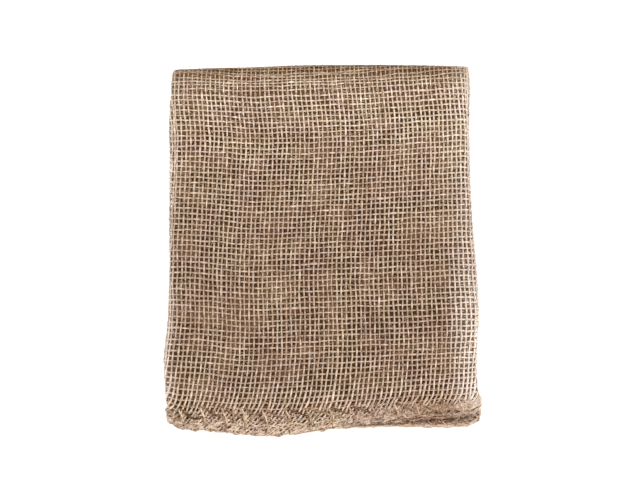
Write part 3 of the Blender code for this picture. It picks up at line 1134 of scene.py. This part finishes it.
# %% The second ply of the top face
CREEPS = table(
    "along across per_along per_across phase",
    (0.0010, 0.0004, 9.0, 14.0, 0.3),
    (0.0007, -0.0008, -21.0, 8.0, 2.0),
    (-0.0004, 0.0011, 12.0, -11.0, 1.1),
    (0.0003, 0.0007, 6.0, 25.0, 4.0),
)


def creep(along, across):
    """Crossings of the lower ply, moved against those of the upper one in slow waves."""
    for wave in CREEPS:
        swing = np.sin(2 * np.pi * (wave.per_along * along + wave.per_across * across) + wave.phase)
        along, across = along + wave.along * swing, across + wave.across * swing
    return along, across


LOOSE_WANDER = 0.00030
second_columns = np.arange(top_start - 0.003, top_end + 0.003, COLUMN_PITCH)
past_seam, before_underside = row_places > SEAM_DEPTH - HALF_WIDTH, row_places < CREASE_RUN / 2 + 0.002
second_rows = row_places[past_seam & before_underside]
crossings = cross(np.random.default_rng(5), second_columns, second_rows, LOOSE_WANDER)
second_along, second_across = creep(*crossings)
second_ply = Ply(22, second_along, np.clip(second_across, -CLOTH_EDGE, CLOTH_EDGE), side=-1)
# IN_SHADE holds darker copies of the jute colours: painted shade for the ply that lies beneath the top one.
IN_SHADE = ((0.140, 0.062, 0.021), (0.400, 0.250, 0.145), (0.60, 0.43, 0.31))
shaded_yarn = jute_yarn("jute yarn in the shade", *IN_SHADE, mottle=0.9, bare=True)
beneath = Bundle()
second_ply.cut_columns(beneath, (0, len(second_columns)), (0, len(second_rows)), sides=4)
second_ply.cut_rows(beneath, (0, len(second_columns)), (0, len(second_rows)), sides=4)
beneath.make("second_ply", shaded_yarn)

# %% [markdown]
# ## The lower half's seam
# Along the pack's front the lower half sticks out from under the upper one, most of all at the right.
# What shows is a narrow strip of the sack's first panel, so that strip is woven too.

# %% A woven strip by the lower seam
STRIP_DEPTH = 0.030
strip_columns = np.arange(0.004, wide_fold_start - RIGHT_OVERLAP + 0.001, COLUMN_PITCH)
strip_rows = row_places[row_places > HALF_WIDTH - STRIP_DEPTH]
strip_along, strip_across = cross(np.random.default_rng(15), strip_columns, strip_rows, LOOSE_WANDER)
strip_ply = Ply(23, *open_holes(strip_along, strip_across, 1, "lower"), side=1)
strip = Bundle()
strip_ply.cut_columns(strip, (0, len(strip_columns)), (0, len(strip_rows)), sides=5)
strip_ply.cut_rows(strip, (0, len(strip_columns)), (0, len(strip_rows)), sides=5)
strip.make("lower_seam_strip", cloth_yarn)

# %% [markdown]
# ## The other plies
# All the other plies are one thin folded sheet, like the sack itself: it starts inside, goes round the
# closed bottom and on to the open mouth. Only its edges and a few narrow bands of it show, so its weave is
# drawn by its material, with its gaps painted dark as painted shade. Where it lies behind woven yarns it is
# painted nearly dark, as painted shade for the inside of a stack of cloth, a little less dark in patches and
# by the crease, and paler by the side folds as painted light. A Solidify modifier gives it its thickness.

# %% The folded sheet
PLY_SHEET = 0.0006
SHEET_STEP = 0.012
SHEET_FOLD_STEPS = 12
SHEET_BOTTOM_STEPS = 8
SHEET_CREASE_STEPS = 18
SHEET_SIDE_STEPS = 18
SHEET_BY_SEAM = (0.0, 0.003, 0.006, 0.010, 0.015, STRIP_DEPTH - 0.003)
SHEET_LAP = 0.002


def sheet_places(begin, end):
    """Distances along the sack for the sheet's points, closer together in its folds."""
    places, along = [], 0.0
    for panel in PANELS:
        places += list(np.linspace(along, along + panel.run, round(panel.run / SHEET_STEP) + 1))
        along += panel.run + np.pi * panel.fold_radius
        if panel.turn:
            places += list(np.linspace(places[-1], along, SHEET_FOLD_STEPS + 1)[1:-1])
    places = np.array(places)
    inner = places[(places > begin + SAME_PLACE) & (places < end - SAME_PLACE)]
    return np.concatenate([[begin], inner, [end]])


def sheet_across():
    """Places across the sack for the sheet's points, closer together at the seams and the crease."""
    crease_end = CREASE_RUN / 2
    near_seam = CLOTH_EDGE - np.array(SHEET_BY_SEAM)
    flat = np.linspace(crease_end, near_seam[-1], SHEET_SIDE_STEPS)[1:-1]
    side = np.concatenate([flat, near_seam[::-1]])
    middle = np.linspace(-crease_end, crease_end, SHEET_CREASE_STEPS + 1)
    return np.concatenate([-side[::-1], middle, side])


# %% Its strips
def sheet_strip(profile, across):
    """Points, faces, UVs and cover of one strip of the sheet. The profile holds (along, side) pairs."""
    along, side = (np.array(column)[:, None] for column in zip(*profile, strict=True))
    points = fold(along, across[None, :], side * np.abs(ply_lift(across[None, :], 1.0)))
    number = np.arange(points.shape[0] * points.shape[1]).reshape(points.shape[:2])
    quads = np.stack([number[:-1, :-1], number[1:, :-1], number[1:, 1:], number[:-1, 1:]], axis=-1)
    walked = np.cumsum(np.concatenate([[0], np.linalg.norm(np.diff(points[:, 5], axis=0), axis=1)]))
    uv = np.stack(np.broadcast_arrays(walked[:, None] / COLUMN_PITCH, across[None, :] / ROW_PITCH), axis=-1)
    woven_over = (along > wide_fold_start) & (along < small_fold_end) & (across < CREASE_RUN / 2)
    by_strip = (along < wide_fold_start - RIGHT_OVERLAP) & (across > HALF_WIDTH - STRIP_DEPTH)
    bare = (side > 0.5) & by_strip
    shown = ~(bare[:-1, :-1] & bare[1:, 1:])
    # The covered mask marks where the sheet is painted nearly dark, as painted shade behind woven yarns.
    covered = (woven_over | by_strip) & (side < 0)
    return points.reshape(-1, 3), quads[shown], uv.reshape(-1, 2), covered.ravel()


def folded_sheet(name, material):
    """The sheet, in two strips: from the right side fold round the bottom to the mouth, and back."""
    turns = np.linspace(0, np.pi, SHEET_BOTTOM_STEPS + 1)[1:-1]
    front = [(a, 1.0) for a in sheet_places(0.0, wide_fold_start - RIGHT_OVERLAP + SHEET_LAP)[::-1]]
    bottom = [(-PLY_PITCH / 2 * np.sin(turn), np.cos(turn)) for turn in turns]
    back = [(a, -1.0) for a in sheet_places(0.0, SACK_LENGTH)]
    mouth_front = [(a, 1.0) for a in sheet_places(small_fold_end + FOLD_OVERLAP - SHEET_LAP, SACK_LENGTH)]
    strips = [sheet_strip(profile, sheet_across()) for profile in (front + bottom + back, mouth_front)]
    first_of_second = len(strips[0][0])
    faces = np.concatenate([strips[0][1], strips[1][1] + first_of_second])
    points, uvs, covered = (np.concatenate([strip[i] for strip in strips]) for i in (0, 2, 3))
    mesh = bpy.data.meshes.new(name)
    mesh.from_pydata(points.tolist(), [], faces.tolist())
    corner_of = np.zeros(len(mesh.loops), np.int32)
    mesh.loops.foreach_get("vertex_index", corner_of)
    mesh.uv_layers.new(name="weave").data.foreach_set("uv", uvs[corner_of].ravel())
    cover = mesh.attributes.new("covered", "FLOAT", "POINT")
    cover.data.foreach_set("value", covered.astype(np.float32))
    print(name, "faces before its thickness", len(mesh.polygons))
    piece = place_piece(name, mesh, material)
    solidify = piece.modifiers.new("ply thickness", "SOLIDIFY")
    solidify.thickness = PLY_SHEET
    solidify.offset = 0.0
    return piece


# %% A weave drawn on the sheet
# DARK and DIM are painted shade for the sheet behind woven yarns, DIM a little less dark. BY_SIDE is painted
# light on it by the side folds, and GAP paints shade into the drawn weave's gaps.
DARK = (0.050, 0.020, 0.006, 1.0)
DIM = (0.150, 0.075, 0.034, 1.0)
BY_SIDE = (0.330, 0.225, 0.150, 1.0)
GAP = (0.060, 0.034, 0.018)
YARN_BAND = Band(0.12, 0.38)
DIM_BAND = Band(0.46, 0.62)
DIM_BY_CREASE = Band(0.082, 0.104, 0.7)
CREST = 0.6


def woven_sheet(name, gap, shade, straw):
    """A plain weave drawn over the sheet's UV map, one unit for each yarn."""
    finish = Finish(name, CLOTH)
    uv = finish.uv("weave")
    wobble = finish.add("ShaderNodeTexNoise", None, {"Vector": uv, "Scale": 0.35}, output=1)
    moved = finish.add("ShaderNodeMix", {"data_type": "VECTOR"}, {0: 0.12, 4: uv, 5: wobble}, output=1)
    columns, rows = finish.part(moved, "X"), finish.part(moved, "Y")
    column = 1 - finish.step(columns.maths("PINGPONG", columns, 0.5), *YARN_BAND)
    row = 1 - finish.step(rows.maths("PINGPONG", rows, 0.5), *YARN_BAND)
    checker = columns.maths("SINE", columns * np.pi) * rows.maths("SINE", rows * np.pi)
    column_height = column * (CREST + checker * (1 - CREST))
    row_height = row * (CREST - checker * (1 - CREST))
    height = column_height.maths("MAXIMUM", column_height, row_height)
    fibres = finish.noise(uv, scale=3.0, detail=4.0)
    # The drawn weave's gaps are painted dark, as painted shade.
    colour = finish.ramp(height * 0.9 + fibres * 0.5 - 0.25, ((0.12, gap), (0.45, shade), (1.0, straw)))
    place = finish.place()
    to_right, to_crease = finish.part(place, "X"), finish.part(place, "Y")
    patches = finish.step(finish.noise(place, scale=60.0, detail=3.0), *DIM_BAND)
    by_crease = finish.step(to_crease, *DIM_BY_CREASE)
    # Behind woven yarns the sheet gets painted shade, less dark in patches and by the crease, and painted
    # light by the side folds.
    behind = finish.blend(patches.maths("MAXIMUM", patches, by_crease), DARK, DIM)
    behind = finish.blend(side_light_share(finish, to_right, to_crease * -1.0), behind, BY_SIDE)
    finish.use("Base Color", finish.blend(finish.attribute("covered") * 0.92, colour, behind))
    finish.bump(height + fibres * 0.15, strength=0.9, distance=0.0007)
    return finish.material


inner_plies = folded_sheet("inner_plies", woven_sheet("jute cloth within", GAP, SHADE, STRAW))
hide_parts("sack_cloth")

# %% [markdown]
# ## The overcast seam
# The two plies are held together along each side by a zigzag of twine: a steep leg up, a slanting leg
# down to the next foot, and a turn over the edge at each foot. Along the feet runs a straight thread, and
# between it and the edge lies a bundle of wavy strands, drawn in by each turn. A seam drawn on the cloth
# would be flat at the pack's edge, so all of it is modelled as round twine, each on its own path.

# %% Twine on a path
TWINE_RADIUS = 0.00074
TWINE_SIDES = 6
TWINE_STEPS = 3
twine_finish = jute_yarn("jute twine", (0.150, 0.080, 0.034), (0.400, 0.272, 0.165), (0.790, 0.650, 0.510))
twine_rng = np.random.default_rng(9)
twine = Bundle()


def add_twine(points, seam):
    """Adds twine through points of along, depth from the seam's edge, height, tone and girth."""
    along, depth, height, tone, girth = np.moveaxis(smooth_path(np.array([points]), TWINE_STEPS), -1, 0)
    path = fold(along, seam * (HALF_WIDTH - depth), height)
    twine.add(twine_rings(path, TWINE_RADIUS * girth, TWINE_SIDES), tone, 3.0)


# %% The zigzag
STEEP_TONES = (0.7, 1.4)
SLACK_TONES = (-0.70, 0.35)
Slack = namedtuple("Slack", "sag rise girth")
LEAST_SLACK, MOST_SLACK = Slack(-0.0007, 0.76, 0.75), Slack(0.0007, 1.10, 1.10)


def zigzag(begin, end, column, height):
    """Points of the zigzag from the last foot before end to the first after begin."""
    points = []
    for foot, next_foot, uneven in zip(feet[:-1], feet[1:], rises[:-1], strict=True):
        if not begin < foot < end:
            continue
        low, next_low = float(base_depth(foot, column)), float(base_depth(next_foot, column))
        top = float(stitch_top(foot, column, uneven))
        up, down = foot + STITCH_SLANT, foot + STITCH_SLANT - STITCH_GAP
        halfway, nearly = down * 0.52 + next_foot * 0.48, down * 0.15 + next_foot * 0.85
        steep, slack = twine_rng.uniform(*STEEP_TONES), twine_rng.uniform(*SLACK_TONES)
        sag, rise, girth = twine_rng.uniform(LEAST_SLACK, MOST_SLACK)
        points += [
            (foot, low * 0.6, height * 0.75, 0.5, 0.9),
            (foot + 0.0002, low + 0.0010, height, steep, 0.9),
            ((foot + up) / 2, (low + top) / 2, height * 1.06, steep, 1.0),
            (up, top - 0.0010, height * 0.95, steep * 0.8, 0.85),
            (up - 0.0002, top + 0.0003, height * 0.30, 0.0, 0.8),
            (down, top + 0.0002, height * 0.30, 0.0, 0.8),
            (down - 0.0008, top - 0.0008, height * 0.97 * rise, slack, girth),
            (halfway, low + 0.42 * (top - low) + sag, height * rise, slack, girth),
            (nearly, next_low + 0.0016, height * rise, slack + 0.2, girth * 0.9),
        ]
    return points


ZIGZAG_RUNS = table(
    "begin end seam column height",
    (0.196, 0.424, -1, "upper", 0.00155),
    (0.196, 0.424, 1, "lower", 0.00100),
    (0.012, 0.203, 1, "lower", 0.00125),
)
for run in ZIGZAG_RUNS:
    add_twine(zigzag(run.begin, run.end, run.column, run.height), run.seam)


# %% A turn of twine over the edge at each foot
WRAP_HEIGHT = 0.00118
WRAP_GIRTH = 0.62
WRAP_TONES = (0.0, 0.6)
turns = np.linspace(-0.60 * np.pi, 0.60 * np.pi, 9)
over_edge = np.maximum(0.0024 - 0.0026 * np.cos(turns), 0) + 0.0006
for seam, column in ((-1, "upper"), (1, "lower")):
    for foot in feet:
        depth = np.where(np.abs(turns) > np.pi / 2, float(base_depth(foot, column)) * 0.55, over_edge)
        tone = twine_rng.uniform(*WRAP_TONES)
        points = [
            (foot + 0.0004 * turn, deep, WRAP_HEIGHT * np.sin(turn), tone, WRAP_GIRTH)
            for turn, deep in zip(turns, depth, strict=True)
        ]
        add_twine(points, seam)
twine.make("overcast_twine", twine_finish)

# %% The strands along the seams' edges
# The lower_tone column paints the lower seam's inner strands, deep under the upper seam, darker: painted
# shade.
EDGE_STRANDS = table(
    "share lift radius wander tone lower_tone",
    (0.98, 0.00120, 0.00042, 0.00024, 0.60, 0.30),
    (0.74, 0.00100, 0.00050, 0.00055, 1.40, 0.60),
    (0.50, 0.00094, 0.00052, 0.00060, 0.80, 1.80),
    (0.27, 0.00070, 0.00056, 0.00055, 1.40, 2.30),
    (0.08, 0.00020, 0.00060, 0.00040, 0.70, 2.40),
    (0.12, -0.00070, 0.00064, 0.00036, 0.10, 2.00),
)
STRAND_STEP = 0.0016
STRAND_TONES = 1.6
ASIDE_LENGTH, UP_LENGTH, UP_SHARE = 0.009, 0.030, 0.4
THINNEST, STOUTEST = 0.55, 1.45
FULL_BY_DEPTH = 0.009
LUMP = 0.22
DRAWN_IN = 0.0003
strand_rng = np.random.default_rng(8)
edge_yarns = Bundle()
even_steps = np.arange(0, SACK_LENGTH, STRAND_STEP)
along = np.unique(np.concatenate([sheet_places(0.0, SACK_LENGTH), even_steps]))
lump = np.cos(2 * np.pi * np.interp(along, feet[::-1], np.arange(len(feet))[::-1]))
for seam, column in ((-1, "upper"), (1, "lower")):
    for strand in EDGE_STRANDS:
        aside = drift(strand_rng, 1, along, strand.wander, ASIDE_LENGTH)[0]
        upward = drift(strand_rng, 1, along, strand.wander * UP_SHARE, UP_LENGTH)[0]
        depth = strand.share * base_depth(along, column) + aside
        path = fold(along, seam * (HALF_WIDTH - depth - DRAWN_IN * (1 + lump)), strand.lift + upward)[None]
        girth = girth_of(strand_rng, 1, along) - LUMP * lump
        snug = np.clip(THINNEST + base_depth(along, column) / FULL_BY_DEPTH, THINNEST, 1.0)
        rings = twine_rings(path, strand.radius * snug * np.clip(girth, THINNEST, STOUTEST), 5)
        tone = strand.tone if seam < 0 else strand.lower_tone
        tones = tone + STRAND_TONES * (tones_of(strand_rng, 1, along) - 0.5)
        edge_yarns.add(rings, tones, strand_rng.integers(99))
edge_yarns.make("seam_edge_strands", cloth_yarn)

# %% [markdown]
# ## Stray fibres
# Jute is hairy: short fibres lie all over it and stand out from its folds, and more are felted over its
# seams. Particle hair isn't exported, so each fibre is a fine tube of three or four sides, on a curve
# that leaves the cloth and comes back to it, or nearly.

# %% Fibres felted over the seams
FELTS = table(
    "begin end seam column fibres",
    (0.196, 0.424, -1, "upper", 520),
    (0.196, 0.424, 1, "lower", 380),
    (0.100, 0.203, 1, "lower", 220),
    (0.196, 0.290, -1, "upper", 240),
)
FELT_HEADING = np.radians(-53)
FELT_SPREAD = 0.5
FELT_CURL = 0.8
FELT_STEP = (0.0004, 0.0011)
FELT_LIFT = (0.0011, 0.0023)
FELT_ARCH = 0.0007
FELT_RADIUS = (0.00011, 0.00026)
FELT_TONES = (-1.6, -0.4, 0.4, 1.1)
OVER_EDGE = 0.0003
FELT_POINTS = np.linspace(-1, 1, 6)
hair_finish = jute_yarn("jute fibre", STRAW, PALE, (0.90, 0.81, 0.71))
felt_rng = np.random.default_rng(12)
felted = Bundle()
for felt in FELTS:
    each = (felt.fibres, 1)
    begun = felt_rng.uniform(felt.begin, felt.end, each)
    inmost = stitch_top(begun, felt.column)
    heading = felt_rng.normal(FELT_HEADING, FELT_SPREAD, each)
    heading = heading + felt_rng.normal(0, FELT_CURL, each) * FELT_POINTS
    step = felt_rng.uniform(*FELT_STEP, each)
    along = begun + np.cumsum(step * np.cos(heading), axis=1)
    depth = inmost * felt_rng.uniform(0, 1, each) + np.cumsum(step * np.sin(heading), axis=1)
    lift = felt_rng.uniform(*FELT_LIFT, each) - FELT_ARCH * FELT_POINTS**2
    path = fold(along, felt.seam * (HALF_WIDTH - np.maximum(depth, OVER_EDGE)), lift)
    radius = felt_rng.uniform(*FELT_RADIUS, each) * np.ones(len(FELT_POINTS))
    felted.add(twine_rings(path, radius, 4), felt_rng.choice(FELT_TONES, felt.fibres))
felted.make("seam_fuzz", hair_finish)

# %% Hairs on the cloth
FACE_FIBRES, RIGHT_FIBRES, LEFT_FIBRES = 1200, 800, 400
FIBRES = FACE_FIBRES + RIGHT_FIBRES + LEFT_FIBRES
FIBRE_RADIUS = 0.000055
FIBRE_STEPS = 6
FIBRE_LENGTH = (0.0025, 0.0085)
FIBRE_ARCH = (0.05, 0.30)
FIBRE_BEND = 0.35
ARCH_TURN = 2.6
ABOVE_YARN = 0.0004
HAIRY_ROWS = 0.56
hair_rng = np.random.default_rng(31)
column_at = np.concatenate([
    hair_rng.integers(0, last_column, FACE_FIBRES),
    hair_rng.integers(right - 7, right, RIGHT_FIBRES),
    hair_rng.integers(left, left + 4, LEFT_FIBRES),
])
row_at = (last_row * HAIRY_ROWS * hair_rng.uniform(0, 1, FIBRES)).astype(int)
roots = outer_ply.columns[column_at, row_at]
root_along, root_across, root_lift = roots[:, :3].T
root = fold(root_along, root_across, root_lift)
upwards = unit(fold(root_along, root_across, root_lift + UPWARD_STEP) - root)
heading = hair_rng.standard_normal((FIBRES, 3))
heading = unit(heading - (heading * upwards).sum(axis=1, keepdims=True) * upwards)
bend = np.cross(upwards, heading) * hair_rng.normal(0, FIBRE_BEND, (FIBRES, 1))
length = hair_rng.uniform(*FIBRE_LENGTH, (FIBRES, 1))
arch = hair_rng.uniform(*FIBRE_ARCH, (FIBRES, 1))
places = np.linspace(0, 1, FIBRE_STEPS)[None, :, None]
hairs = (
    root[:, None]
    + upwards[:, None] * (ABOVE_YARN + (arch * length)[:, None] * np.sin(ARCH_TURN * places))
    + length[:, None] * (heading[:, None] * places + bend[:, None] * places**2)
)
hair = Bundle()
hair.add(twine_rings(hairs, np.full(hairs.shape[:2], FIBRE_RADIUS), 3), hair_rng.uniform(0.3, 1, FIBRES))
hair.make("stray_fibres", hair_finish)

# %% [markdown]
# ## Floor and light
# The pack lies on a light table, whose glow leaves it hardly any shadow. An even sky and a broad lamp over
# its left light it from above, and lower lamps on both sides and at the front right brighten its side
# folds and its seam. The crease, at the back, gets none of them and stays the darkest edge.

# %% Floor and sky
FLOOR_SIZE = 6.0
bpy.ops.object.select_all(action="DESELECT")
bpy.ops.mesh.primitive_plane_add(size=FLOOR_SIZE, location=(0, 0, -0.0002))
floor = bpy.context.active_object
floor.name = "floor"
LIGHT_TABLE = {
    "Base Color": (0.90, 0.90, 0.90, 1.0),
    "Roughness": 0.9,
    "Emission Color": (1.0, 1.0, 1.0, 1.0),
    "Emission Strength": 0.30,
}
floor.data.materials.append(Finish("light table", LIGHT_TABLE).material)
print("floor", FLOOR_SIZE, "m wide")

sky = bpy.data.worlds.new("sky")
sky.use_nodes = True
sky.node_tree.nodes["Background"].inputs["Color"].default_value = (1.0, 1.0, 1.0, 1.0)
sky.node_tree.nodes["Background"].inputs["Strength"].default_value = 0.40
bpy.context.scene.world = sky

# %% Lamps
SOFTBOXES = table(
    "name place size watts",
    ("key softbox", (-0.06, 0.08, 0.62), 0.40, 2.6),
    ("right softbox", (0.70, -0.05, 0.40), 0.40, 6.0),
    ("left softbox", (-0.70, -0.05, 0.40), 0.40, 4.5),
    ("front softbox", (0.45, -0.65, 0.28), 0.50, 3.0),
)
for box in SOFTBOXES:
    lamp = bpy.data.lights.new(box.name, "AREA")
    lamp.size, lamp.energy = box.size, box.watts
    lit = bpy.data.objects.new(box.name, lamp)
    bpy.context.scene.collection.objects.link(lit)
    lit.location = box.place
    lit.rotation_euler = (-Vector(box.place)).to_track_quat("-Z", "Y").to_euler()
bpy.context.scene.view_settings.view_transform = "Standard"
print(len(SOFTBOXES), "lamps")
